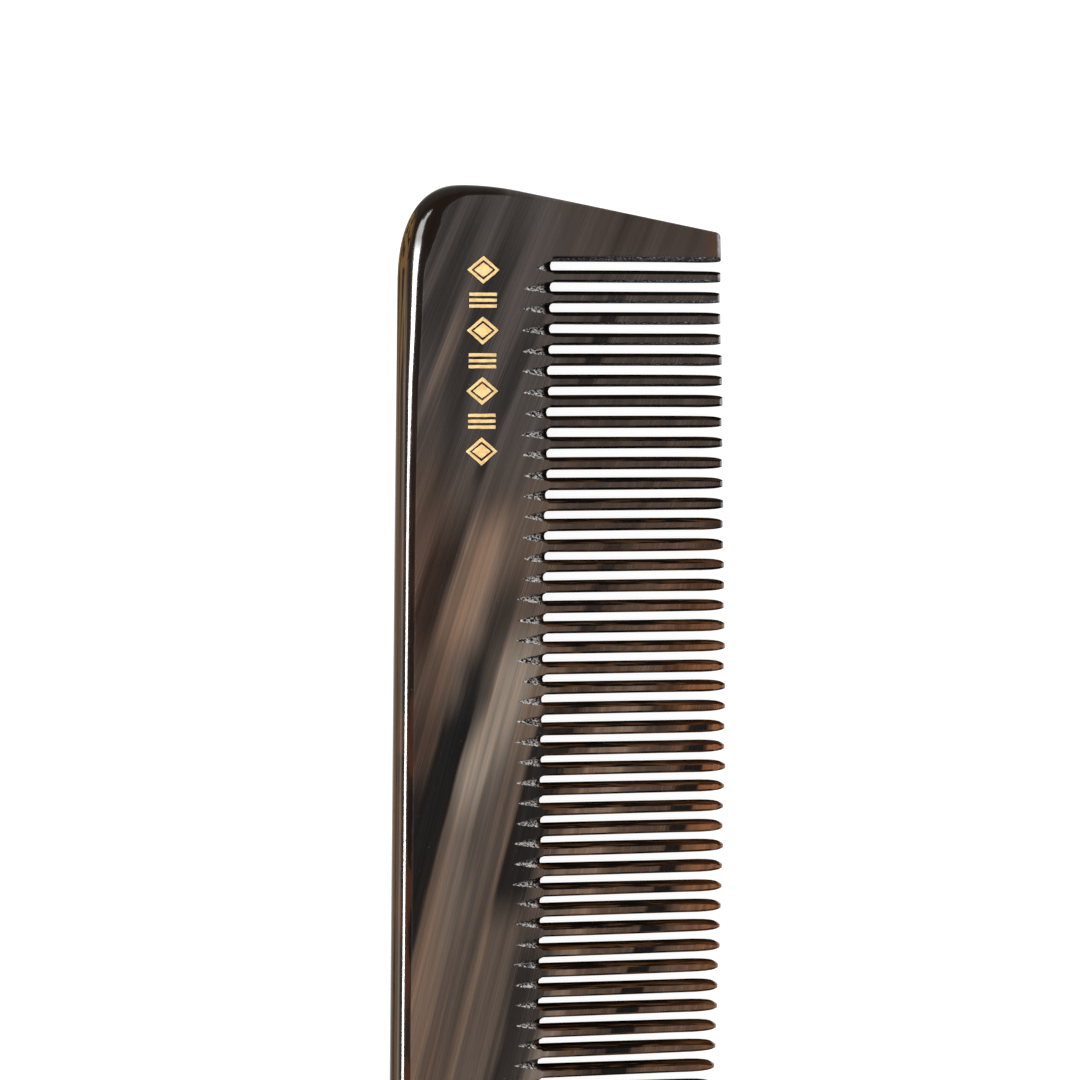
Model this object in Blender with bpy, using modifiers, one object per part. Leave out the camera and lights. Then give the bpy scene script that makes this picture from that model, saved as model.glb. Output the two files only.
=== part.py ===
"""Pocket comb of polished horn, sawn from one plate and stamped with a gold ornament.

Units are metres. The comb lies on its back face: +Y runs along its length, +X points to the tooth
tips and +Z comes out of the front face. The origin is the middle of the footprint at the back face.

The plate is divided along the tooth roots, so that every gap between two teeth stays free.
"""

import math

import bmesh
import bpy
from mathutils import Matrix, Vector

MM = 0.001

# Plate
LENGTH = 127.0 * MM
DEPTH = 36.6 * MM
THICKNESS = 3.6 * MM
BACK_X = -DEPTH / 2
HALF_LENGTH = LENGTH / 2
SEAM = 0.3 * MM

# Rounded shoulder at each end of the spine, a superellipse quarter
SHOULDER_DEPTH = 7.0 * MM
SHOULDER_LENGTH = 10.7 * MM
SHOULDER_POWER = 2.4
SHOULDER_STEPS = 10

# Sloping end edge, from the shoulder's crest to the guard's tip
END_SLOPE = 0.193
END_BEND_DEPTH = 12.7 * MM
END_BEND_STEPS = 4
GUARD_REACH = 35.1 * MM
GUARD_TIP_RADIUS = 0.6 * MM

# Edge rounding: nearly a full round along the back, lighter along the ends
EDGE_ROUND = 1.7 * MM
EDGE_SEGMENTS = 3
END_EDGE_SHARE = 0.35

# Teeth and the gaps between them
SPINE_DEPTH = 16.0 * MM
TOOTH_COUNT = 50
PITCH = 2.2 * MM
PITCH_OPENING = 0.011
HALF_ROW = TOOTH_COUNT * PITCH / 2
GAP = 0.92 * MM
TIP_CROWN = 1.4 * MM
TIP_CROWN_POWER = 1.3
TIP_THICKNESS = 2.4 * MM
TOOTH_SIDES = 6
POINT_LENGTH = 1.6 * MM
POINT_SHARE = 0.5

# Stamped gold ornament: lozenges and bars in one line
MARK_COUNT = 7
MARK_PITCH = 3.2 * MM
MARK_LINE_DEPTH = 8.9 * MM
MARK_MIDDLE_Y = 45.0 * MM
MARK_THICKNESS = 0.2 * MM
LOZENGE_HALF = Vector((1.75 * MM, 1.5 * MM))
BAR_HALF = Vector((1.5 * MM, 0.8 * MM))

HORN_COLOUR = (0.060, 0.045, 0.036, 1.0)
GOLD_COLOUR = (0.72, 0.46, 0.17, 1.0)


def clear_scene():
    """Remove every object, so that the comb is built in an empty scene."""
    for item in list(bpy.data.objects):
        bpy.data.objects.remove(item, do_unlink=True)


def new_collection(name):
    """Add a collection under the scene's own."""
    collection = bpy.data.collections.new(name)
    bpy.context.scene.collection.children.link(collection)
    return collection


def new_material(name, colour, roughness, metallic):
    """A Principled material with one colour."""
    material = bpy.data.materials.new(name)
    material.use_nodes = True
    shader = material.node_tree.nodes["Principled BSDF"]
    shader.inputs["Base Color"].default_value = colour
    shader.inputs["Roughness"].default_value = roughness
    shader.inputs["Metallic"].default_value = metallic
    return material


def link_mesh(name, mesh, collection, material=None):
    """Put a mesh in the scene as a named object."""
    item = bpy.data.objects.new(name, mesh)
    collection.objects.link(item)
    if material:
        mesh.materials.append(material)
    return item


def mesh_from_bmesh(name, shape):
    """Store a bmesh as a mesh and free it."""
    mesh = bpy.data.meshes.new(name)
    shape.to_mesh(mesh)
    shape.free()
    return mesh


def end_line_y(depth):
    """Height of the straight sloping end edge at a depth from the back."""
    crest_depth = (SHOULDER_DEPTH + END_BEND_DEPTH) / 2
    return HALF_LENGTH - END_SLOPE * (depth - crest_depth)


def quadratic(start, middle, end, steps):
    """Points of a parabola that leaves start and reaches end along the lines to middle."""
    points = []
    for step in range(steps + 1):
        t = step / steps
        points.append(start * (1 - t) ** 2 + middle * (2 * t * (1 - t)) + end * t**2)
    return points


def end_outline():
    """Outline of the +Y end as (depth from the back, y), from the back edge to the guard's tip."""
    centre = Vector((SHOULDER_DEPTH, HALF_LENGTH - SHOULDER_LENGTH))
    points = []
    for step in range(SHOULDER_STEPS + 1):
        angle = math.pi / 2 * step / SHOULDER_STEPS
        across = math.cos(angle) ** (2 / SHOULDER_POWER)
        along = math.sin(angle) ** (2 / SHOULDER_POWER)
        points.append(centre + Vector((-SHOULDER_DEPTH * across, SHOULDER_LENGTH * along)))
    bend_middle = Vector(((SHOULDER_DEPTH + END_BEND_DEPTH) / 2, HALF_LENGTH))
    bend_end = Vector((END_BEND_DEPTH, end_line_y(END_BEND_DEPTH)))
    points += quadratic(points[-1], bend_middle, bend_end, END_BEND_STEPS)[1:]
    tip_start = Vector((GUARD_REACH - GUARD_TIP_RADIUS, end_line_y(GUARD_REACH - GUARD_TIP_RADIUS)))
    tip_corner = Vector((GUARD_REACH, end_line_y(GUARD_REACH)))
    tip_end = tip_corner - Vector((0, GUARD_TIP_RADIUS))
    points += quadratic(tip_start, tip_corner, tip_end, 2)
    return points


def plate_outline():
    """Closed outline of the plate in X and Y: the +Y end and its mirror image."""
    upper = [Vector((BACK_X + point.x, point.y)) for point in end_outline()]
    lower = [Vector((point.x, -point.y)) for point in reversed(upper)]
    return upper + lower


def weigh_edges(mesh):
    """Give the back the whole edge rounding and the two ends a share of it."""
    weights = mesh.attributes.new("bevel_weight_edge", "FLOAT", "EDGE")
    for edge in mesh.edges:
        start, end = (mesh.vertices[index].co for index in edge.vertices)
        if abs(start.z - end.z) > SEAM:
            continue
        depth = (start.x + end.x) / 2 - BACK_X
        fade = min(max(depth / SHOULDER_DEPTH, 0), 1)
        weights.data[edge.index].value = 1 - (1 - END_EDGE_SHARE) * fade


def add_plate(collection):
    """The uncut plate with its rounded edges, used as the blank for the spine and both guards."""
    curve = bpy.data.curves.new("plate_outline", "CURVE")
    curve.dimensions = "2D"
    curve.fill_mode = "BOTH"
    curve.extrude = THICKNESS / 2
    outline = plate_outline()
    spline = curve.splines.new("POLY")
    spline.points.add(len(outline) - 1)
    for point, place in zip(spline.points, outline):
        point.co = (place.x, place.y, 0, 1)
    spline.use_cyclic_u = True
    guide = bpy.data.objects.new("plate_outline", curve)
    collection.objects.link(guide)
    guide.location.z = THICKNESS / 2
    depsgraph = bpy.context.evaluated_depsgraph_get()
    mesh = bpy.data.meshes.new_from_object(guide.evaluated_get(depsgraph))
    mesh.transform(guide.matrix_world)
    bpy.data.objects.remove(guide)
    shape = bmesh.new()
    shape.from_mesh(mesh)
    bmesh.ops.remove_doubles(shape, verts=shape.verts, dist=0.01 * MM)
    bmesh.ops.dissolve_limit(shape, angle_limit=math.radians(1), verts=shape.verts, edges=shape.edges)
    bmesh.ops.recalc_face_normals(shape, faces=shape.faces)
    shape.to_mesh(mesh)
    shape.free()
    weigh_edges(mesh)
    plate = link_mesh("plate_blank", mesh, collection)
    rounding = plate.modifiers.new("edge_round", "BEVEL")
    rounding.limit_method = "WEIGHT"
    rounding.width = EDGE_ROUND
    rounding.segments = EDGE_SEGMENTS
    return plate


def add_box(name, low, high, collection):
    """A box between two corners, from a cube primitive."""
    shape = bmesh.new()
    bmesh.ops.create_cube(shape, size=1)
    size = high - low
    bmesh.ops.transform(shape, matrix=Matrix.Diagonal((*size, 1)), verts=shape.verts)
    bmesh.ops.translate(shape, vec=(low + high) / 2, verts=shape.verts)
    return link_mesh(name, mesh_from_bmesh(name, shape), collection)


def hide_cutter(cutter):
    """Show a cutter as wire only."""
    cutter.hide_render = True
    cutter.display_type = "WIRE"


def add_boolean(item, cutter, operation):
    """Cut an object with another by an exact Boolean."""
    cut = item.modifiers.new(cutter.name, "BOOLEAN")
    cut.solver = "EXACT"
    cut.operation = operation
    cut.object = cutter


def cut_from_plate(name, plate, keeper, collection, material):
    """The piece of the plate inside a keeper box, as a mesh of its own."""
    item = link_mesh(name, plate.data.copy(), collection, material)
    rounding = item.modifiers.new("edge_round", "BEVEL")
    source = plate.modifiers["edge_round"]
    rounding.limit_method = source.limit_method
    rounding.width = source.width
    rounding.segments = source.segments
    add_boolean(item, keeper, "INTERSECT")
    depsgraph = bpy.context.evaluated_depsgraph_get()
    mesh = bpy.data.meshes.new_from_object(item.evaluated_get(depsgraph))
    item.modifiers.clear()
    item.data = mesh
    return item


def taper_share(x):
    """Share of the full thickness at x, from 1 at the tooth roots to the thin tips."""
    root_x = BACK_X + SPINE_DEPTH
    run = min(max((x - root_x) / (DEPTH / 2 - root_x), 0), 1)
    return 1 - (1 - TIP_THICKNESS / THICKNESS) * run


def add_spine(plate, parts, cutters, material):
    """The solid back of the comb, up to the tooth roots."""
    reach = Vector((DEPTH, HALF_LENGTH + THICKNESS, THICKNESS))
    high = Vector((BACK_X + SPINE_DEPTH, reach.y, 2 * THICKNESS))
    keeper = add_box("spine_keeper", -reach, high, cutters)
    hide_cutter(keeper)
    return cut_from_plate("spine", plate, keeper, parts, material)


def add_guard(name, side, plate, parts, cutters, material):
    """The wide outer tooth at one end, thinned towards its tip."""
    inner_y = HALF_ROW + GAP / 2
    outer_y = HALF_LENGTH + THICKNESS
    low_y, high_y = sorted((side * inner_y, side * outer_y))
    low = Vector((BACK_X + SPINE_DEPTH + SEAM, low_y, -THICKNESS))
    high = Vector((DEPTH, high_y, 2 * THICKNESS))
    keeper = add_box(f"{name}_keeper", low, high, cutters)
    hide_cutter(keeper)
    guard = cut_from_plate(name, plate, keeper, parts, material)
    middle_z = THICKNESS / 2
    for vertex in guard.data.vertices:
        vertex.co.z = middle_z + (vertex.co.z - middle_z) * taper_share(vertex.co.x)
    return guard


def tip_x(y):
    """X of the tooth tips at y: the line of tips is crowned towards the middle of the comb."""
    return DEPTH / 2 - TIP_CROWN * (abs(y) / HALF_ROW) ** TIP_CROWN_POWER


def row_y(step):
    """Y of a place in the row, where step 0 is the first gap at the +Y end and every tooth lies at
    a half step. The pitch opens slightly from the middle of the comb towards both ends."""
    share = 1 - 2 * step / TOOTH_COUNT
    return HALF_ROW * share * (1 - PITCH_OPENING + PITCH_OPENING * abs(share))


def add_tooth(name, y, collection, material):
    """One tooth: a hexagonal bar, widest at mid thickness, with a short point."""
    root = BACK_X + SPINE_DEPTH + SEAM
    neck = tip_x(y) - POINT_LENGTH
    width = PITCH - GAP
    shape = bmesh.new()
    bmesh.ops.create_cone(
        shape, cap_ends=True, segments=TOOTH_SIDES, radius1=1, radius2=1, depth=neck - root
    )
    # The quarter turn lays the bar along +X, with a flat to the front and one to the back.
    quarter_turn = Matrix.Rotation(math.pi / 2, 4, "Y")
    bmesh.ops.transform(shape, matrix=quarter_turn, verts=shape.verts)
    widest = max(vertex.co.y for vertex in shape.verts)
    tallest = max(vertex.co.z for vertex in shape.verts)
    for vertex in shape.verts:
        x = vertex.co.x + (root + neck) / 2
        rise = THICKNESS / 2 * taper_share(x)
        vertex.co = (x, vertex.co.y / widest * width / 2, vertex.co.z / tallest * rise)
    end_face = max(shape.faces, key=lambda face: face.calc_center_median().x)
    grown = bmesh.ops.extrude_discrete_faces(shape, faces=[end_face])["faces"][0]
    for vertex in grown.verts:
        vertex.co.x = tip_x(y)
        vertex.co.y *= POINT_SHARE
        vertex.co.z *= POINT_SHARE
    bmesh.ops.translate(shape, vec=(0, y, THICKNESS / 2), verts=shape.verts)
    bmesh.ops.recalc_face_normals(shape, faces=shape.faces)
    return link_mesh(name, mesh_from_bmesh(name, shape), collection, material)


def add_mark(name, index, grow, low_z, high_z, collection, material=None):
    """One ornament of the stamped line, a lozenge or a bar, grown outwards by a margin."""
    y = MARK_MIDDLE_Y + (index - (MARK_COUNT - 1) / 2) * MARK_PITCH
    shape = bmesh.new()
    if index % 2 == 0:
        # A lozenge's sides move out by the margin when its corners move out by more than that.
        slant = LOZENGE_HALF.length / min(LOZENGE_HALF)
        half = LOZENGE_HALF + Vector((grow, grow)) * slant
        bmesh.ops.create_cone(
            shape, cap_ends=True, segments=4, radius1=1, radius2=1, depth=high_z - low_z
        )
        scale = Matrix.Diagonal((half.x, half.y, 1, 1))
    else:
        half = BAR_HALF + Vector((grow, grow))
        bmesh.ops.create_cube(shape, size=1)
        scale = Matrix.Diagonal((2 * half.x, 2 * half.y, high_z - low_z, 1))
    bmesh.ops.transform(shape, matrix=scale, verts=shape.verts)
    place = Vector((BACK_X + MARK_LINE_DEPTH, y, (low_z + high_z) / 2))
    bmesh.ops.translate(shape, vec=place, verts=shape.verts)
    bmesh.ops.recalc_face_normals(shape, faces=shape.faces)
    return link_mesh(name, mesh_from_bmesh(name, shape), collection, material)


def add_ornament(spine, parts, cutters, material):
    """The gold ornaments, each lying in its own shallow pocket of the spine's front face."""
    foil_base = THICKNESS - MARK_THICKNESS
    for index in range(MARK_COUNT):
        name = f"gold_mark_{index + 1}"
        pocket = add_mark(
            f"{name}_pocket", index, SEAM, foil_base - SEAM, THICKNESS + SEAM, cutters
        )
        hide_cutter(pocket)
        add_boolean(spine, pocket, "DIFFERENCE")
        add_mark(name, index, 0, foil_base, THICKNESS, parts, material)


def build_comb():
    """Build the comb's plate pieces, teeth and ornaments."""
    clear_scene()
    parts = new_collection("horn_comb")
    cutters = new_collection("cutters")
    horn = new_material("horn", HORN_COLOUR, 0.25, 0.0)
    gold = new_material("gold_foil", GOLD_COLOUR, 0.35, 1.0)
    plate = add_plate(cutters)
    hide_cutter(plate)
    spine = add_spine(plate, parts, cutters, horn)
    add_guard("upper_end_guard", 1, plate, parts, cutters, horn)
    add_guard("lower_end_guard", -1, plate, parts, cutters, horn)
    for index in range(TOOTH_COUNT):
        add_tooth(f"tooth_{index + 1:02d}", row_y(index + 0.5), parts, horn)
    add_ornament(spine, parts, cutters, gold)


build_comb()
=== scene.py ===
"""Pocket comb of polished horn, lying on a pale table, with a stamped line of gold ornaments.

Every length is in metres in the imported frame: the comb lies on its back face, +Y runs along its
length, +X points to the tooth tips and +Z comes out of the front face.
"""

import logging
import math
import random
from dataclasses import dataclass, field
from enum import Enum
from typing import Any, Optional, Sequence, Union

import bmesh
import bpy
from mathutils import Matrix, Vector

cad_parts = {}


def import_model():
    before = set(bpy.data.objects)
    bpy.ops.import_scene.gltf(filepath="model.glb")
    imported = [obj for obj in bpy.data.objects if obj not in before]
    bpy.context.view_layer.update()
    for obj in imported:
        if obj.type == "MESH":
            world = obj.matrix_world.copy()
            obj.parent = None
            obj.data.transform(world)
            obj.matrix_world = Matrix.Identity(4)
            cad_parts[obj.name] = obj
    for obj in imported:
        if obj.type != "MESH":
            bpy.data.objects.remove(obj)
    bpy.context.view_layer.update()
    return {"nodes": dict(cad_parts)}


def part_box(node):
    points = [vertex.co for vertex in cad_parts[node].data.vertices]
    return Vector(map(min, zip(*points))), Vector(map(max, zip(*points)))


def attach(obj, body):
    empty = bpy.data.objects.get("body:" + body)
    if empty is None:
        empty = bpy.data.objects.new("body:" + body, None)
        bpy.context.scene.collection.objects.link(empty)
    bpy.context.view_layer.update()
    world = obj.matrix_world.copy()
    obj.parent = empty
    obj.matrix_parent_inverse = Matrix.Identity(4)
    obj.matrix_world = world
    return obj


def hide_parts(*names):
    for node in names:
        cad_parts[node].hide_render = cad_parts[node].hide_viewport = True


MM = 0.001
LOG = logging.getLogger("comb")
Socket = bpy.types.NodeSocket
Piece = bpy.types.Object
Shape = bmesh.types.BMesh
Face = bmesh.types.BMFace
Colour = tuple[float, float, float]
Number = Union[float, "Value"]
Settings = Optional[dict[Any, Any]]
Steps = Sequence[tuple[float, float]]


class Value:
    """A socket that carries one number, with the arithmetic that shader expressions need."""

    def __init__(self, graph: "Graph", socket: Socket) -> None:
        """Keep the graph and the output socket that the value comes from."""
        self.graph = graph
        self.socket = socket

    def math(self, operation: str, *others: Number) -> "Value":
        """Add a Math node.

        Args:
            operation: The Math node's operation.
            others: The values after this one.

        Returns:
            The node's result.
        """
        return self.graph.math(operation, self, *others)

    def __add__(self, other: Number) -> "Value":
        """This value plus another."""
        return self.math("ADD", other)

    def __sub__(self, other: Number) -> "Value":
        """This value less another."""
        return self.math("SUBTRACT", other)

    def __rsub__(self, other: Number) -> "Value":
        """Another value less this one."""
        return self.graph.math("SUBTRACT", other, self)

    def __mul__(self, other: Number) -> "Value":
        """This value times another."""
        return self.math("MULTIPLY", other)

    __radd__ = __add__
    __rmul__ = __mul__

    def __abs__(self) -> "Value":
        """This value without its sign."""
        return self.math("ABSOLUTE")

    def __pow__(self, power: Number) -> "Value":
        """This value raised to a power."""
        return self.math("POWER", power)

    def most(self, other: Number) -> "Value":
        """The larger of this value and another."""
        return self.math("MAXIMUM", other)

    def fade(self, start: float, end: float) -> "Value":
        """Rise softly from 0 where the value is start to 1 where it is end.

        Args:
            start: The value that gives 0.
            end: The value that gives 1, above or below start.

        Returns:
            The soft step.
        """
        node = self.graph.node(
            "ShaderNodeMapRange",
            {"interpolation_type": "SMOOTHSTEP"},
            {"Value": self, "From Min": start, "From Max": end},
        )
        return Value(self.graph, node.outputs[0])


class Graph:
    """The node tree of one material or world, built from an empty tree."""

    def __init__(self, tree: bpy.types.NodeTree) -> None:
        """Empty the tree and keep it."""
        self.tree = tree
        tree.nodes.clear()

    def node(self, kind: str, settings: Settings = None, inputs: Settings = None) -> bpy.types.Node:
        """Add a node.

        Args:
            kind: The node's type.
            settings: Its properties, set before its sockets.
            inputs: A number, colour, Value or socket for each named or numbered input.

        Returns:
            The new node.
        """
        made = self.tree.nodes.new(kind)
        for name, setting in (settings or {}).items():
            setattr(made, name, setting)
        for key, given in (inputs or {}).items():
            socket = made.inputs[key]
            source = given.socket if isinstance(given, Value) else given
            if isinstance(source, Socket):
                self.tree.links.new(source, socket)
            else:
                socket.default_value = source
        return made

    def math(self, operation: str, *values: Number) -> Value:
        """Add a Math node over one to three values and give its result."""
        node = self.node("ShaderNodeMath", {"operation": operation}, dict(enumerate(values)))
        return Value(self, node.outputs[0])

    def mix(self, share: Number, first: Any, second: Any, blend: str = "MIX") -> Socket:
        """Blend two colours.

        Args:
            share: How much of the second colour shows.
            first: A colour or socket.
            second: A colour or socket.
            blend: The blend mode.

        Returns:
            The blended colour's socket.
        """
        colours = [(*c, 1.0) if isinstance(c, tuple) and len(c) == 3 else c for c in (first, second)]
        node = self.node(
            "ShaderNodeMix",
            {"data_type": "RGBA", "blend_type": blend},
            {0: share, 6: colours[0], 7: colours[1]},
        )
        return node.outputs[2]

    def coats(self, colour: Any, coats: list[tuple[Number, Any]], blend: str = "MIX") -> Socket:
        """Lay coats over a colour, each given by how much of it shows and its own colour."""
        for share, coat in coats:
            colour = self.mix(share, colour, coat, blend)
        return colour

    def join(self, x: Number, y: Number, z: Number) -> Socket:
        """Make a vector from three values."""
        return self.node("ShaderNodeCombineXYZ", None, {0: x, 1: y, 2: z}).outputs[0]

    def noise(
        self, place: Socket, scale: float, detail: float = 3.0, rough: float = 0.5
    ) -> Value:
        """Smooth random values from 0 to 1 over a place.

        Args:
            place: The vector that the pattern follows.
            scale: Waves for each unit of the vector.
            detail: Octaves.
            rough: How strong the finer octaves are.

        Returns:
            The pattern.
        """
        inputs = {"Vector": place, "Scale": scale, "Detail": detail, "Roughness": rough}
        return Value(self, self.node("ShaderNodeTexNoise", None, inputs).outputs[0])

    def pattern(self, x: Number, y: Number, z: Number, detail: float, rough: float = 0.5) -> Value:
        """Smooth random values over a place that is given by its three parts, as noise() does."""
        return self.noise(self.join(x, y, z), 1.0, detail, rough)

    def bump(self, strength: float, distance: float, height: Value) -> Socket:
        """Fine relief.

        Args:
            strength: How much of the relief shows.
            distance: Height of one unit in metres.
            height: The relief.

        Returns:
            The normal's socket.
        """
        inputs = {"Strength": strength, "Distance": distance, "Height": height}
        return self.node("ShaderNodeBump", None, inputs).outputs[0]

    def principled(self, inputs: dict[str, Any]) -> bpy.types.Node:
        """Add a Principled shader."""
        return self.node("ShaderNodeBsdfPrincipled", None, inputs)

    def millimetres(self) -> tuple[Socket, Value, Value, Value]:
        """The surface's place in the frame in millimetres, as a vector and as its three parts."""
        place = self.node("ShaderNodeTexCoord").outputs["Object"]
        scale = (1 / MM, 1 / MM, 1 / MM)
        scaled = self.node("ShaderNodeMapping", None, {"Vector": place, "Scale": scale}).outputs[0]
        parts = self.node("ShaderNodeSeparateXYZ", None, {0: scaled}).outputs
        return scaled, Value(self, parts[0]), Value(self, parts[1]), Value(self, parts[2])

    def surface(self, shader: bpy.types.Node) -> None:
        """Lead a shader to the material's output."""
        self.node("ShaderNodeOutputMaterial", None, {"Surface": shader.outputs[0]})


def new_material(name: str) -> tuple[bpy.types.Material, Graph]:
    """Add a material with an empty node tree."""
    material = bpy.data.materials.new(name)
    material.use_nodes = True
    return material, Graph(material.node_tree)


@dataclass(frozen=True)
class Streak:
    """One coloured layer of the horn, lying along the slanted grain.

    Attributes:
        across: Its middle, in millimetres across the grain from the back edge at the comb's middle.
        half: Half its width in millimetres.
        soft: How far its sides fade out, in millimetres.
        upper: Height on the comb where it ends upwards, in millimetres.
        lower: Height on the comb where it ends downwards, in millimetres.
        run: How far its ends fade out, in millimetres.
        colour: Its colour.
        strength: How much it covers what lies under it.
    """

    across: float
    half: float
    soft: float
    upper: float
    lower: float
    run: float
    colour: Colour
    strength: float


CHARCOAL: Colour = (0.060, 0.050, 0.045)
SOOT: Colour = (0.0065, 0.0062, 0.0064)
UMBER: Colour = (0.075, 0.050, 0.037)
TAUPE: Colour = (0.210, 0.136, 0.092)
SAND: Colour = (0.255, 0.205, 0.160)
AMBER: Colour = (0.245, 0.085, 0.026)
OLIVE: Colour = (0.072, 0.040, 0.016)
HONEY: Colour = (0.120, 0.064, 0.020)
BARK: Colour = (0.098, 0.070, 0.053)
FAWN: Colour = (0.125, 0.094, 0.072)
WALNUT: Colour = (0.060, 0.046, 0.038)
COCOA: Colour = (0.034, 0.025, 0.020)
PEAT: Colour = (0.028, 0.021, 0.017)
COFFEE: Colour = (0.022, 0.016, 0.013)
TAR: Colour = (0.017, 0.010, 0.007)
WHITE: Colour = (1.0, 1.0, 1.0)


@dataclass(frozen=True)
class HornFinish:
    """Polished horn: slanted layers, fine grain, specks and scratches.

    Attributes:
        name: The material's name.
        slant: How far the grain leans across for each millimetre along the comb.
        lean: How much more it leans towards the upper end.
        depth: The comb's depth from back to tips in millimetres.
        root: Depth of the tooth roots from the back in millimetres.
        half_row: Half the length of the toothed row in millimetres.
        face: Height of the front face in millimetres.
        rosy, rusty, warm: Tints of the light streaks, of the back edge's side and of the teeth.
        rim, ember: Very dark painted reflection on the rounded rim, and its glow along the back edge.
        guard_end, worn: Colours of the guard's outer end, and of the painted pale highlight on the tooth
            ends and the guard's end facet.
        streaks: The layers, from the lowest to the top one.
    """

    name: str = "polished_horn"
    slant: float = 0.24
    lean: float = 0.0016
    depth: float = 36.6
    root: float = 16.0
    half_row: float = 55.0
    face: float = 3.6
    rosy: Colour = (1.18, 0.94, 0.80)
    rusty: Colour = (1.16, 0.94, 0.80)
    warm: Colour = (1.22, 0.92, 0.76)
    rim: Colour = (0.009, 0.005, 0.003)
    ember: Colour = (0.060, 0.020, 0.008)
    guard_end: Colour = (0.085, 0.040, 0.024)
    end_highlight: Colour = (0.40, 0.39, 0.41)
    streaks: tuple[Streak, ...] = (
        Streak(2.4, 1.3, 1.2, 28.0, 15.0, 3.5, TAUPE, 0.90),
        Streak(1.2, 1.1, 1.3, 9.0, -60.0, 4.0, COCOA, 0.80),
        Streak(-2.0, 0.9, 1.3, 28.0, 13.0, 5.0, TAR, 0.90),
        Streak(-4.8, 0.6, 1.2, 38.0, 29.0, 4.0, COFFEE, 0.55),
        Streak(6.6, 1.0, 1.5, 34.0, 22.0, 5.0, TAUPE, 0.35),
        Streak(9.0, 1.5, 1.3, 15.0, -60.0, 5.0, FAWN, 0.85),
        Streak(9.3, 1.8, 1.2, 15.0, -2.5, 4.0, SAND, 0.88),
        Streak(13.2, 0.7, 1.1, 15.0, -60.0, 6.0, TAUPE, 0.65),
        Streak(11.9, 0.8, 1.1, 4.0, -60.0, 5.0, WALNUT, 0.75),
        Streak(6.7, 0.6, 1.1, 21.0, 6.0, 4.0, PEAT, 0.80),
        Streak(5.0, 0.5, 1.1, 14.0, 2.0, 3.0, SOOT, 0.90),
        Streak(4.7, 1.40, 1.0, 8.5, -60.0, 3.5, SOOT, 0.98),
        Streak(3.4, 1.2, 1.4, 1.0, -60.0, 4.0, SOOT, 0.90),
        Streak(-0.8, 0.3, 0.7, 36.0, 32.0, 2.0, SOOT, 0.70),
        Streak(-1.5, 0.6, 1.2, 50.0, 37.0, 4.0, SOOT, 0.60),
        Streak(-6.4, 0.6, 1.3, 58.0, 36.0, 5.0, SOOT, 0.60),
        Streak(-9.3, 0.5, 1.0, 50.0, 41.0, 4.0, TAUPE, 0.35),
        Streak(-12.3, 0.7, 1.4, 62.0, 46.0, 5.0, SOOT, 0.60),
        Streak(-17.0, 0.8, 1.6, 70.0, 54.0, 5.0, SOOT, 0.55),
        Streak(15.9, 1.7, 1.1, 9.0, -14.0, 3.0, SOOT, 0.92),
        Streak(16.2, 0.8, 1.2, 27.0, 13.0, 3.5, SOOT, 0.80),
        Streak(22.6, 1.4, 2.0, 9.0, -34.0, 4.0, SAND, 0.55),
        Streak(27.2, 0.8, 1.8, 34.0, 6.0, 6.0, SOOT, 0.55),
        Streak(7.2, 0.7, 0.8, 52.0, 42.0, 2.0, SOOT, 0.85),
        Streak(27.6, 0.8, 1.2, 14.0, 6.0, 2.0, SOOT, 0.75),
        Streak(32.1, 1.1, 0.8, 8.0, -60.0, 2.0, SOOT, 1.0),
        Streak(20.0, 1.1, 1.4, -16.0, -60.0, 5.0, SOOT, 0.80),
        Streak(31.0, 1.4, 1.8, -26.0, -60.0, 5.0, SOOT, 0.70),
    )

    def layers(self, graph: Graph, across: Value, along: Value) -> Socket:
        """Colour of the layered horn.

        Args:
            graph: The material's graph.
            across: Place across the grain in millimetres.
            along: Place along the comb in millimetres.

        Returns:
            The colour's socket.
        """
        upper = along.fade(22.0, 40.0)
        lower = along.fade(30.0, 6.0)
        colour = graph.mix(lower, UMBER, BARK)
        colour = graph.mix(upper * 0.9, colour, CHARCOAL)
        for streak in self.streaks:
            side = abs(across - streak.across).fade(streak.half + streak.soft, streak.half)
            above = along.fade(streak.upper + streak.run, streak.upper - streak.run)
            below = along.fade(streak.lower - streak.run, streak.lower + streak.run)
            colour = graph.mix(side * above * below * streak.strength, colour, streak.colour)
        return colour

    def material(self) -> bpy.types.Material:
        """Build the polished horn."""
        material, graph = new_material(self.name)
        place, x, y, z = graph.millimetres()
        depth = x + self.depth / 2
        lean = y.most(0.0) * y * self.lean
        grain = depth - y * self.slant - lean
        drift = graph.pattern(grain * 0.16, y * 0.045, z * 0.05, 2.0)
        flutter = graph.pattern(grain * 1.3, y * 0.035, z * 0.1, 3.0)
        across = grain + (drift - 0.5) * 3.4 + (flutter - 0.5) * 1.8
        colour = self.layers(graph, across, y)

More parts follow.
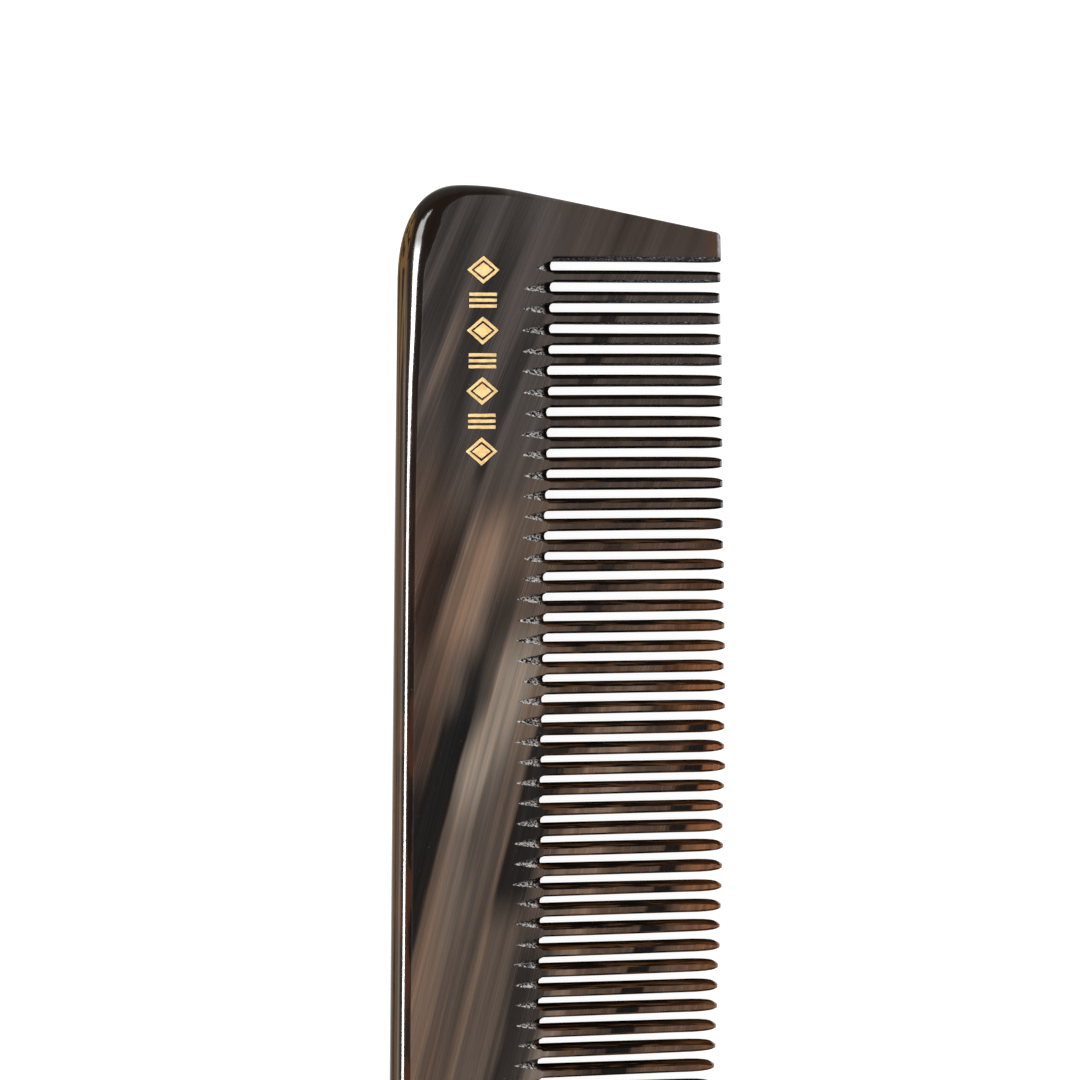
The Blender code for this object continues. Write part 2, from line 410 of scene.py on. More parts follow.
        broad = graph.pattern(across * 0.36, y * 0.014, z * 0.05, 1.0)
        middle = graph.pattern(grain * 1.1, y * 0.020, z * 0.2, 2.0, 0.6)
        fine = graph.pattern(grain * 5.0, y * 0.030, z * 0.5, 1.5, 0.6)
        hair = graph.pattern(grain * 21.0, y * 0.060, z * 0.8, 1.0, 0.6)
        toothed = depth.fade(self.root - 1.0, self.root + 4.0)
        thread = 1.0 - toothed * 0.75
        tone = 0.42 + broad * 0.95 + (middle - 0.5) * 1.10 * (1.0 - toothed * 0.3)
        tone = (tone + (fine - 0.5) * 0.48 * thread + (hair - 0.5) * 0.50 * thread).most(0.22)
        tone = tone * (1.0 - toothed * 0.14)
        shade = graph.join(tone, tone, tone)
        colour = graph.mix(1.0, colour, shade, "MULTIPLY")
        glow = middle.fade(0.50, 0.72) * y.fade(34.0, 24.0) * 0.5
        rusty = depth.fade(7.0, 3.0) * y.fade(44.0, 30.0) * 0.8
        warm = toothed * (y.fade(34.0, 2.0) * 0.35 + 0.35)
        tints = [(glow, self.rosy), (rusty, self.rusty), (warm, self.warm)]
        colour = graph.coats(colour, tints, "MULTIPLY")

        tips = (depth + (broad - 0.5) * 5.0 + y * 0.12).fade(28.5, 34.0) * y.fade(30.0, 2.0)
        tips = tips * (1.0 - abs(across - 32.0).fade(1.9, 0.9) * y.fade(9.5, 6.5))
        # Painted dark reflection: near the back edge, every surface below the front face, chiefly the
        # polished rounded rim, is coloured very dark to stand in for the dark overhead that the round
        # reflects.
        rim = z.fade(self.face - 0.003, self.face - 0.05) * depth.fade(self.root - 3.0, self.root - 6.0)
        highlight_mottle = graph.noise(place, 1.3, 1.0).fade(0.40, 0.58)
        wave = graph.pattern(x * 0.9, y * 0.14, z * 0.8, 3.0)
        ember = rim * depth.fade(2.3, 1.7) * wave.fade(0.44, 0.60) * y.fade(50.0, 14.0)
        crown = (abs(y) * (1 / self.half_row)) ** 1.3 * 1.4
        # Painted highlight: the tooth ends of the upper rows and the guard's end facet are coloured pale
        # grey, standing in for the pale table that those facets reflect; a noise breaks it into patches.
        end_highlight = (depth + crown).fade(self.depth - 0.56, self.depth - 0.30) * y.fade(4.0, 44.0)
        guard_end = depth.fade(32.6, 34.6) * y.fade(53.6, 54.6)
        inner = depth - (y - 52.0).most(0.0) ** 2.0 * 0.0150
        edge = inner.fade(0.95, 0.55) * z.fade(3.3, 2.6)
        bands = graph.pattern(y * 0.03, z * 5.0, x * 3.0, 2.0, 0.6)
        amber_edge = graph.mix(y.fade(24.0, 50.0), OLIVE, HONEY)
        specks = graph.noise(place, 2.6, 2.0, 0.7).fade(0.735, 0.78)
        coats = [
            (tips * middle.fade(0.15, 0.60) * 0.90, AMBER),
            # painted dark reflection on the rim
            (rim * 0.92, self.rim),
            (ember * 0.8, self.ember),
            (guard_end * 0.65, self.guard_end),
            # painted pale highlight on the tooth ends
            (end_highlight * (highlight_mottle * 0.40 + 0.45), self.end_highlight),
            (edge * bands.fade(0.42, 0.52) * 0.95, amber_edge),
            (specks * 0.45, SAND),
        ]
        colour = graph.coats(colour, coats)

        scratch = graph.pattern(grain * 9.0, y * 0.045, z, 2.0, 0.7)
        filed = graph.pattern(x * 0.10, y * 7.0, z * 3.0, 2.0, 0.6)
        dimple = graph.noise(place, 1.1, 2.0, 0.5)
        flat = z.fade(self.face - 0.05, self.face - 0.01).most(toothed)
        rough = 0.09 + flat * 0.17 + flat * (scratch - 0.5) * 0.14 + flat * (middle - 0.5) * 0.10
        height = scratch * 0.35 + filed * toothed * 0.5 + dimple * 0.6
        normal = graph.bump(0.12, 0.02 * MM, height)
        inputs = {"Base Color": colour, "Roughness": rough, "IOR": 1.54, "Normal": normal}
        polished = graph.principled(inputs)
        deep = graph.principled({**inputs, "Specular IOR Level": 0.08})
        side = z.fade(self.face - 0.60, self.face - 1.00)
        corner = z.fade(self.face - 0.04, self.face - 0.20) * y.fade(55.0, 58.0)
        side = side.most(corner) * depth.fade(self.root + 21.0, self.root + 16.0)
        shaders = {0: side * 0.92, 1: polished.outputs[0], 2: deep.outputs[0]}
        graph.surface(graph.node("ShaderNodeMixShader", None, shaders))
        return material


@dataclass(frozen=True)
class SawnFinish:
    """The sawn sides of the teeth, coloured very dark as painted shade between the teeth, and the frosted
    run-outs of the saw; lengths in millimetres.
    """

    name: str = "sawn_horn"
    depth: float = 36.6
    root: float = 15.6
    pitch: float = 2.2
    # Very dark base: painted shade on the tooth sides between the teeth.
    painted_shade: Colour = (0.0060, 0.0042, 0.0034)
    amber: Colour = (0.060, 0.020, 0.006)
    lit: Colour = (0.100, 0.044, 0.018)
    groove: Colour = (0.014, 0.012, 0.011)
    frost: Colour = (0.84, 0.80, 0.77)
    glint: Colour = (0.38, 0.38, 0.42)
    sparkle: Colour = (0.25, 0.24, 0.25)

    def material(self) -> bpy.types.Material:
        """Build the sawn horn."""
        material, graph = new_material(self.name)
        place, x, y, z = graph.millimetres()
        depth = x + self.depth / 2
        runout = depth.fade(self.root + 0.3, self.root - 0.3)
        strokes = graph.pattern(x * 3.4 + y * 3.0, y * 4.2 - x * 1.4, z * 2.0, 2.0, 0.7)
        grit = graph.noise(place, 9.0, 2.0, 0.7)
        tips = depth.fade(26.0, 35.0) * y.fade(30.0, 0.0) * z.fade(1.4, 3.0)
        lines = graph.pattern(x * 0.22, y * 2.4, z * 2.6, 2.0, 0.6)
        lit = lines.fade(0.48, 0.60) * y.fade(52.0, 14.0) * z.fade(1.4, 2.8)
        row = (y * (1 / self.pitch) + 0.5).math("FRACT")
        # Painted light: the frost shows more on the lower wall of each run-out, the side that faces the key
        # light at the comb's upper end; the white strokes themselves are the saw's frosting.
        lower = row.fade(0.60, 0.46) * 0.8 + 0.2
        frost = runout * strokes.fade(0.44, 0.57) * grit.fade(0.34, 0.52) * lower
        glitter = graph.pattern(x * 4.0, y * 9.0, z * 9.0, 2.0, 0.7).fade(0.52, 0.66)
        glint = row.fade(0.66, 0.72) * y.fade(38.0, 53.0) * (1.0 - runout) * z.fade(3.50, 3.20)
        sparkle = grit.fade(0.66, 0.74) * z.fade(2.3, 3.2)
        coats = [
            (tips * 0.55, self.amber),
            (lit * 0.8, self.lit),
            # painted shade in the run-out grooves
            (runout * 0.8, self.groove),
            (frost * 0.9, self.frost),
            (glint * (glitter * 0.70 + 0.05), self.glint),
            (sparkle * 0.35, self.sparkle),
        ]
        colour = graph.coats(self.painted_shade, coats)
        height = strokes * runout + grit * 0.6
        inputs = {
            "Base Color": colour,
            "Roughness": 0.42 + runout * 0.12,
            "Specular IOR Level": 0.0,
            "Normal": graph.bump(0.6, 0.05 * MM, height),
        }
        graph.surface(graph.principled(inputs))
        return material


@dataclass(frozen=True)
class FoilFinish:
    """Gold foil pressed into the horn: mottled, and paler on its sides and rounded edges below the top; its
    top in millimetres.
    """

    name: str = "stamped_gold_foil"
    top: float = 3.57
    deep: Colour = (0.84, 0.44, 0.11)
    gold: Colour = (1.0, 0.68, 0.25)
    grain: Colour = (1.0, 0.78, 0.38)
    edge: Colour = (1.0, 0.84, 0.56)
    pit: Colour = (0.34, 0.15, 0.04)

    def material(self) -> bpy.types.Material:
        """Build the foil."""
        material, graph = new_material(self.name)
        place, _, _, z = graph.millimetres()
        cloud = graph.noise(place, 1.5, 3.0, 0.6)
        grain = graph.noise(place, 7.0, 3.0, 0.65)
        coats = [
            (cloud.fade(0.35, 0.65), self.gold),
            (grain.fade(0.50, 0.68) * 0.6, self.grain),
            (z.fade(self.top + 0.005, self.top - 0.010) * 0.7, self.edge),
            (grain.fade(0.36, 0.30) * 0.55, self.pit),
        ]
        colour = graph.coats(self.deep, coats)
        inputs = {
            "Base Color": colour,
            "Metallic": 0.20,
            "Roughness": 0.34 + grain * 0.22,
            "Normal": graph.bump(0.5, 0.04 * MM, grain + cloud * 0.5),
        }
        graph.surface(graph.principled(inputs))
        return material


def link_object(name: str, data: bpy.types.ID) -> Piece:
    """Put a mesh, light or camera into the scene as an object at the origin."""
    made = bpy.data.objects.new(name, data)
    bpy.context.scene.collection.objects.link(made)
    return made


def link_mesh(name: str, shape: Shape) -> Piece:
    """Store a bmesh as a mesh object at the origin.

    Args:
        name: The object's name.
        shape: The bmesh, freed here.

    Returns:
        The object.
    """
    mesh = bpy.data.meshes.new(name)
    shape.to_mesh(mesh)
    shape.free()
    return link_object(name, mesh)


def along_steps(steps: Steps, at: float) -> float:
    """Read a broken line.

    Args:
        steps: The line's points, in rising order of their first number.
        at: Where to read it.

    Returns:
        The line's height there.
    """
    if at <= steps[0][0]:
        return steps[0][1]
    for (start, low), (end, high) in zip(steps, steps[1:]):
        if at <= end:
            return low + (high - low) * (at - start) / (end - start)
    return steps[-1][1]


def add_part(shape: Shape, part: Shape) -> None:
    """Add a closed solid to a bmesh, with its faces turned outwards, and free it.

    Args:
        shape: The bmesh to add to.
        part: One solid whose faces all wind the same way.
    """
    if part.calc_volume(signed=True) < 0:
        bmesh.ops.reverse_faces(part, faces=part.faces)
    mesh = bpy.data.meshes.new("part")
    part.to_mesh(mesh)
    part.free()
    shape.from_mesh(mesh)
    bpy.data.meshes.remove(mesh)


def loft(shape: Shape, sections: list[list[Vector]]) -> None:
    """Add a closed solid through sections that all have the same number of corners.

    Args:
        shape: The bmesh to add to.
        sections: The corners of each section, in the same turning order.
    """
    count = len(sections[0])
    part = bmesh.new()
    layer = part.verts.layers.int.new("corner")
    bmesh.ops.create_cone(part, cap_ends=True, segments=count, radius1=1, radius2=1, depth=2)
    caps = [face for face in part.faces if len(face.verts) == count]
    end = max(caps, key=lambda face: face.calc_center_median().z)
    for vertex in part.verts:
        corner = round(math.atan2(vertex.co.x, vertex.co.y) / math.tau * count) % count
        vertex[layer] = corner
        vertex.co = sections[1 if vertex.co.z > 0 else 0][corner]
    for section in sections[2:]:
        end = bmesh.ops.extrude_discrete_faces(part, faces=[end])["faces"][0]
        for vertex in end.verts:
            vertex.co = section[vertex[layer]]
    add_part(shape, part)


def new_verts(grown: list[Any]) -> list[bmesh.types.BMVert]:
    """Pick the vertices out of what an operator made."""
    return [item for item in grown if isinstance(item, bmesh.types.BMVert)]


def raise_faces(part: Shape, faces: list[Face], height: float) -> None:
    """Turn flat upward faces into a closed solid.

    Args:
        part: The bmesh that holds them.
        faces: The faces, which become the underside.
        height: How far the top is raised.
    """
    grown = bmesh.ops.extrude_face_region(part, geom=faces, use_keep_orig=True)["geom"]
    bmesh.ops.translate(part, vec=(0, 0, height), verts=new_verts(grown))


@dataclass
class HornBody:
    """The whole horn comb in one piece: rounded plate, sawn teeth and the saw's run-outs.

    The broken lines at the end are in millimetres, except for shares.

    Attributes:
        rim_runs: Depth from the back, and how far the rim runs in.
        rim_widen: Distance from the comb's middle, and how much wider the rim of the back edge is.
        rim_fill: Distance from the comb's middle, and how much fuller that rim's curve is.
        gap_edge: Height as a share of half the thickness, and what the softened edge adds to the gap.
        gap_round: Distance past the root, and share of the gap's width there.
        gap_mouth: Distance before the tip, and share of the mouth's flare there.
        gap_flare: Place along the comb, and the mouth's flare.
        thinning: Share of the way from root to tip, and share of the thinning.
    """

    length: float = 127.0 * MM
    depth: float = 36.6 * MM
    thickness: float = 3.6 * MM
    tip_thickness: float = 2.4 * MM
    shoulder_depth: float = 7.0 * MM
    shoulder_length: float = 10.7 * MM
    shoulder_power: float = 2.4
    shoulder_steps: int = 30
    end_slope: float = 0.193
    bend_depth: float = 12.7 * MM
    guard_reach: float = 35.1 * MM
    guard_tip_radius: float = 0.6 * MM
    tooth_count: int = 50
    pitch: float = 2.2 * MM
    root_depth: float = 16.0 * MM
    root_crown: float = 0.4 * MM
    gap: float = 0.92 * MM
    gap_reach: float = 1.0 * MM
    guard_chamfer: float = 2.2
    tip_crown: float = 1.4 * MM
    rim_steps: int = 9
    rim_turn: float = math.radians(74)
    seed: int = 41
    rim_runs: Steps = (
        *((0.0, 1.9), (0.3, 2.35), (0.8, 2.6), (1.8, 2.7), (3.2, 2.3)),
        *((7.0, 1.2), (12.0, 0.8), (20.0, 0.26), (35.0, 0.24)),
    )
    rim_widen: Steps = ((30.0, 0.0), (42.0, 0.15), (50.0, 0.55), (57.0, 0.65))
    rim_fill: Steps = ((30.0, 0.0), (42.0, 0.10), (50.0, 0.28), (57.0, 0.38))
    gap_edge: Steps = ((1.5, 0.54), (1.0, 0.36), (0.975, 0.28), (0.90, 0.18), (0.72, 0.09), (0.4, 0.02))
    gap_round: Steps = ((0.0, 0.50), (0.07, 0.78), (0.20, 0.95), (0.42, 1.0))
    gap_mouth: Steps = ((2.6, 0.0), (1.5, 0.10), (0.8, 0.28), (0.4, 0.50), (0.15, 0.75), (-0.05, 1.05))
    gap_flare: Steps = ((0.0, 0.40), (55.0, 0.10))
    thinning: Steps = ((-0.08, 0.0), (0.05, 0.02), (0.2, 0.14), (0.5, 0.44), (1.0, 1.0))

    @property
    def back_x(self) -> float:
        """X of the back edge."""
        return -self.depth / 2

    @property
    def half_row(self) -> float:
        """Half the length of the toothed row, to the middle of the outer gaps."""
        return self.tooth_count * self.pitch / 2

    @property
    def tooth_nodes(self) -> list[str]:
        """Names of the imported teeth, from the upper end."""
        return [f"tooth_{index + 1:02d}" for index in range(self.tooth_count)]

    @property
    def middle_z(self) -> float:
        """Height of the plate's middle plane."""
        return self.thickness / 2

    def end_line_y(self, depth: float) -> float:
        """Y of the straight sloping end edge at a depth from the back."""
        crest = (self.shoulder_depth + self.bend_depth) / 2
        return self.length / 2 - self.end_slope * (depth - crest)

    @staticmethod
    def bend(start: Vector, corner: Vector, end: Vector, steps: int) -> list[Vector]:
        """Points of a parabola from start to end whose ends point to the corner."""
        points = []
        for step in range(steps + 1):
            t = step / steps
            points.append(start * (1 - t) ** 2 + corner * (2 * t * (1 - t)) + end * t**2)
        return points

    def tip_x(self, y: float) -> float:
        """X of the tooth tips at y: the line of tips is crowned in the middle of the comb."""
        return self.depth / 2 - self.tip_crown * (abs(y) / self.half_row) ** 1.3

    def root_x(self, y: float) -> float:
        """X of the tooth roots at y."""
        return self.back_x + self.root_depth + self.root_crown * (abs(y) / self.half_row) ** 1.5

    def end_outline(self) -> list[Vector]:
        """Outline of the upper end as (depth, y), from the back edge to the guard's tip."""
        centre = Vector((self.shoulder_depth, self.length / 2 - self.shoulder_length))
        points = []
        for step in range(self.shoulder_steps + 1):
            angle = math.pi / 2 * step / self.shoulder_steps
            across = math.cos(angle) ** (2 / self.shoulder_power)
            along = math.sin(angle) ** (2 / self.shoulder_power)
            place = Vector((-self.shoulder_depth * across, self.shoulder_length * along))
            points.append(centre + place)
        crest = Vector(((self.shoulder_depth + self.bend_depth) / 2, self.length / 2))
        bend_end = Vector((self.bend_depth, self.end_line_y(self.bend_depth)))
        points += self.bend(points[-1], crest, bend_end, 8)[1:]
        tip_start_depth = self.guard_reach - self.guard_tip_radius
        slope_steps = 14
        for step in range(1, slope_steps):
            depth = self.bend_depth + (tip_start_depth - self.bend_depth) * step / slope_steps
            points.append(Vector((depth, self.end_line_y(depth))))
        tip_start = Vector((tip_start_depth, self.end_line_y(tip_start_depth)))
        tip_corner = Vector((self.guard_reach, self.end_line_y(self.guard_reach)))
        tip_end = tip_corner - Vector((0, self.guard_tip_radius))
        return points + self.bend(tip_start, tip_corner, tip_end, 6)

    def outline(self) -> list[Vector]:
        """Closed outline of the uncut plate, clockwise from the upper end of the back edge."""
        upper = [Vector((self.back_x + point.x, point.y)) for point in self.end_outline()]
        tips = []
        inner = self.half_row + 0.2 * MM
        row_steps = 60
        for step in range(row_steps + 1):
            y = inner - 2 * inner * step / row_steps
            tips.append(Vector((self.tip_x(y), y)))
        lower = [Vector((point.x, -point.y)) for point in reversed(upper)]
        back = []
        straight = self.length / 2 - self.shoulder_length
        back_steps = 20
        for step in range(1, back_steps):
            back.append(Vector((self.back_x, -straight + 2 * straight * step / back_steps)))
        return upper + tips + lower + back

    def rim_size(self, point: Vector, front: bool) -> tuple[float, float, float]:
        """How far the rounded rim runs in from the outline, and how far down it starts.

        Args:
            point: The place on the outline.
            front: Whether it is the rim of the front face.

        Returns:
            The run inwards, the drop from the face and the power that fills the curve out.
        """
        depth = point.x - self.back_x
        if point.x > self.back_x + self.guard_reach - 0.05 * MM:
            return (0.50 * MM, (0.42 if abs(point.y) > self.half_row else 0.75) * MM, 1.0)
        run = along_steps(self.rim_runs, depth / MM) * MM
        near_back = along_steps([(0.4, 1.0), (3.0, 0.0)], depth / MM)
        run += along_steps(self.rim_widen, abs(point.y) / MM) * near_back * MM
        if not front:
            run *= 0.8
        drop = min(run * 1.05, self.middle_z - 0.06 * MM)
        return run, drop, 1.0 - along_steps(self.rim_fill, abs(point.y) / MM) * near_back

    def blank(self) -> Shape:
        """The uncut plate: rings of edges drawn up from the middle plane to each face."""
        shape = bmesh.new()
        layer = shape.verts.layers.int.new("place")
        outline = self.outline()
        count = len(outline)
        inward = []
        for index, point in enumerate(outline):
            ahead = outline[(index + 1) % count] - outline[index - 1]
            inward.append(Vector((ahead.y, -ahead.x)).normalized())
        ring = []
        for index, point in enumerate(outline):
            vertex = shape.verts.new((point.x, point.y, self.middle_z))
            vertex[layer] = index
            ring.append(vertex)
        start = [shape.edges.new((ring[index - 1], ring[index])) for index in range(count)]
        for side in (1, -1):
            loop = start
            sizes = [self.rim_size(point, side > 0) for point in outline]
            for step in range(self.rim_steps + 1):
                turn = self.rim_turn * step / self.rim_steps
                grown = bmesh.ops.extrude_edge_only(shape, edges=loop)["geom"]
                loop = [item for item in grown if isinstance(item, bmesh.types.BMEdge)]
                verts = set(new_verts(grown))
                loop = [edge for edge in loop if all(vertex in verts for vertex in edge.verts)]
                for vertex in verts:
                    index = vertex[layer]
                    run, drop, power = sizes[index]
                    inset = run * ((1 - math.cos(turn)) / (1 - math.cos(self.rim_turn))) ** power
                    rise = self.middle_z - drop + drop * math.sin(turn) / math.sin(self.rim_turn)
                    place = outline[index] + inward[index] * inset
                    vertex.co = (place.x, place.y, self.middle_z + side * rise)
            bmesh.ops.contextual_create(shape, geom=loop)
        bmesh.ops.recalc_face_normals(shape, faces=shape.faces)
        return shape

    def thin_steps(self) -> list[tuple[float, float]]:
        """Share of the full thickness at X, as a broken line from the roots to the tips."""
        root = self.back_x + self.root_depth
        thin = 1 - self.tip_thickness / self.thickness
        reach = self.depth / 2 - root
        return [(root + reach * at, 1 - thin * share) for at, share in self.thinning]

    def thin(self, z: float, x: float) -> float:
        """Height of a point after the teeth are thinned towards their tips."""
        return self.middle_z + (z - self.middle_z) * along_steps(self.thin_steps(), x)

    def thin_blank(self, shape: Shape) -> None:
        """Thin the plate from the tooth roots to the tips."""
        for x, _ in self.thin_steps()[:-1]:
            geometry = [*shape.verts, *shape.edges, *shape.faces]
            bmesh.ops.bisect_plane(shape, geom=geometry, plane_co=(x, 0, 0), plane_no=(1, 0, 0))
        for vertex in shape.verts:
            vertex.co.z = self.thin(vertex.co.z, vertex.co.x)

    def gap_middles(self) -> list[float]:
        """Y of the middle of every gap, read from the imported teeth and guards, upper end first."""
        teeth = [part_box(node) for node in self.tooth_nodes]
        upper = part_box("upper_end_guard")[0].y
        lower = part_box("lower_end_guard")[1].y
        above = [upper] + [low.y for low, _ in teeth]
        below = [high.y for _, high in teeth] + [lower]
        return [(top + bottom) / 2 for top, bottom in zip(above, below)]

    def gap_section(self, x: float, y: float, half: float, guard: int = 0) -> list[Vector]:
        """Section of the space between two teeth, narrowest at mid thickness.

        Args:
            x: Where the section is.
            y: Its middle.
            half: Half its width at mid thickness.
            guard: 1 or -1 where the end guard is on the +Y or -Y side, 0 between two teeth.

        Returns:
            Its corners, turning from the top of the +Y side.
        """
        edge = self.gap_edge
        right = [*edge, (0.0, 0.0), *((-share, grow) for share, grow in reversed(edge))]
        corners = []
        for side, steps in ((1, right), (-1, right[::-1])):
            chamfer = self.guard_chamfer if side == guard else 1.0
            for share, grow in steps:
                z = self.thin(self.middle_z * (1 + share), x)
                reach = min(half + grow * chamfer * MM, self.gap_reach * chamfer)
                corners.append(Vector((x, y + side * reach, z)))
        return corners

    def gap_cutters(self, rng: random.Random) -> Shape:
        """The spaces between the teeth, with rounded roots and mouths that flare round the tips."""
        shape = bmesh.new()
        for index, middle in enumerate(self.gap_middles()):
            guard = {0: 1, self.tooth_count: -1}.get(index, 0)
            root = self.root_x(middle) + rng.uniform(-0.10, 0.10) * MM
            tip = self.tip_x(middle)
            half = self.gap / 2 + rng.uniform(-0.025, 0.025) * MM
            flare = along_steps(self.gap_flare, middle / MM) * MM
            sway = rng.uniform(-0.035, 0.035) * MM
            bow = rng.uniform(-0.03, 0.03) * MM
            stations = [(root + past * MM, share) for past, share in self.gap_round]
            sections = [self.gap_section(x, middle, half * share, guard) for x, share in stations]
            for step in (0.25, 0.5, 0.75):
                x = root + (tip - root) * step
                place = middle + bow * math.sin(math.pi * step) + sway * step
                sections.append(self.gap_section(x, place, half, guard))
            mouth = middle + sway
            for before, share in self.gap_mouth:
                sections.append(self.gap_section(tip - before * MM, mouth, half + flare * share, guard))
            sections.append(self.gap_section(tip + 1.5 * MM, mouth, half + flare * 1.2, guard))
            loft(shape, sections)
        return shape

    def runout_cutters(self, rng: random.Random, side: int) -> Shape:
        """The pointed grooves that the saw leaves past each root.

        Args:
            rng: The source of the hand-cut scatter.
            side: 1 for the front face, -1 for the back face.

        Returns:
            The grooves' solids.
        """
        shape = bmesh.new()
        face_z = self.middle_z * (1 + side)
        for index, middle in enumerate(self.gap_middles()):
            length = rng.uniform(2.5, 3.2) * MM
            if index in (0, self.tooth_count):
                length = 1.8 * MM
            drop = rng.uniform(1.00, 1.25) * MM
            half = rng.uniform(0.60, 0.66) * MM
            drift = rng.uniform(-0.16, -0.02) * MM
            root = self.root_x(middle)
            sections = []
            for step in (-0.13, 0.0, 0.2, 0.45, 0.7, 0.9, 1.0):
                share = 1 - max(step, 0.0)
                width = half * share**0.8 + 0.02 * MM
                deep = drop * share**1.1 + 0.02 * MM
                y = middle + drift * max(step, 0.0)
                x = root - length * step
                wall = [(width * 1.12, 0.4 * MM), (width, 0.0)]
                wall += [(width * 0.80, -deep * 0.22), (width * 0.52, -deep * 0.72)]
                corners = [*wall, (0.0, -deep), *((-dy, dz) for dy, dz in reversed(wall))]
                sections.append([Vector((x, y + dy, face_z + side * dz)) for dy, dz in corners])
            loft(shape, sections)
        return shape

    def cut(self, body: Piece, cutters: list[Piece]) -> None:
        """Cut the body with each cutter in turn, then remove the cutters.

        Args:
            body: The plate.
            cutters: Closed solids to take away.
        """
        for cutter in cutters:
            modifier = body.modifiers.new(cutter.name, "BOOLEAN")
            modifier.solver = "MANIFOLD"
            modifier.operation = "DIFFERENCE"
            modifier.object = cutter
        depsgraph = bpy.context.evaluated_depsgraph_get()
        mesh = bpy.data.meshes.new_from_object(body.evaluated_get(depsgraph))
        body.modifiers.clear()
        old = body.data
        body.data = mesh
        bpy.data.meshes.remove(old)
        for cutter in cutters:
            data = cutter.data
            bpy.data.objects.remove(cutter)
            bpy.data.meshes.remove(data)

    def scatter_tips(self, shape: Shape, rng: random.Random) -> None:
        """Shorten or lengthen each tooth's end a little, as hand work leaves it."""
        middles = self.gap_middles()
        shifts = [rng.uniform(-0.16, 0.02) * MM for _ in range(self.tooth_count)]
        for vertex in shape.verts:
            reach = self.tip_x(vertex.co.y) - vertex.co.x
            share = 1 - reach / (2.4 * MM)
            if share <= 0 or abs(vertex.co.y) > self.half_row:
                continue
            for index, shift in enumerate(shifts):
                if middles[index + 1] < vertex.co.y < middles[index]:
                    vertex.co.x += shift * min(share, 1.0)

    def is_sawn(self, face: Face) -> bool:
        """Whether a face is the side of a tooth or of a run-out, and not an outer surface."""
        centre = face.calc_center_median()
        inner = abs(centre.y) < self.half_row + 1.0 * MM
        toothed = centre.x > self.back_x + self.root_depth - 3.2 * MM
        end = face.normal.x > 0.35 and centre.x > self.tip_x(centre.y) - 0.9 * MM
        return inner and toothed and not end and abs(face.normal.z) < 0.93

    def dress(self, body: Piece) -> None:
        """Clean the cut mesh, set its shading and give it its finishes."""
        rng = random.Random(self.seed + 1)
        body.data.materials.clear()
        body.data.materials.append(HornFinish().material())
        body.data.materials.append(SawnFinish().material())
        shape = bmesh.new()
        shape.from_mesh(body.data)
        bmesh.ops.remove_doubles(shape, verts=shape.verts, dist=0.002 * MM)
        bmesh.ops.dissolve_degenerate(shape, edges=shape.edges, dist=0.001 * MM)
        self.scatter_tips(shape, rng)
        shape.normal_update()
        for face in shape.faces:
            face.smooth = True
            face.material_index = 1 if self.is_sawn(face) else 0
        for edge in shape.edges:
            normals = [face.normal for face in edge.link_faces]
            if len(normals) != 2:
                continue
            tilt = [abs(normal.z) for normal in normals]
            crease = max(tilt) > 0.998 and min(tilt) < 0.988
            edge.smooth = not (crease or normals[0].angle(normals[1], 0) > math.radians(32))
        shape.to_mesh(body.data)
        shape.free()

    def build(self, marks: list["FoilMark"]) -> Piece:
        """Make the horn body.

        Args:
            marks: The ornaments, which need pockets in the front face.

        Returns:
            The finished object.
        """
        rng = random.Random(self.seed)
        shape = self.blank()
        self.thin_blank(shape)
        body = link_mesh("horn_body", shape)
        cutters = [
            link_mesh("gap_cutters", self.gap_cutters(rng)),
            link_mesh("front_runouts", self.runout_cutters(rng, 1)),
            link_mesh("back_runouts", self.runout_cutters(rng, -1)),
        ]
        pockets = bmesh.new()
        for mark in marks:
            mark.add_pocket(pockets)
        cutters.append(link_mesh("foil_pockets", pockets))
        self.cut(body, cutters)
        self.dress(body)
        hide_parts("spine", "upper_end_guard", "lower_end_guard", *self.tooth_nodes)
        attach(body, "root")
        return body


class MarkShape(Enum):
    """What a stamped ornament shows."""

    LOZENGE = "lozenge"
    BARS = "bars"


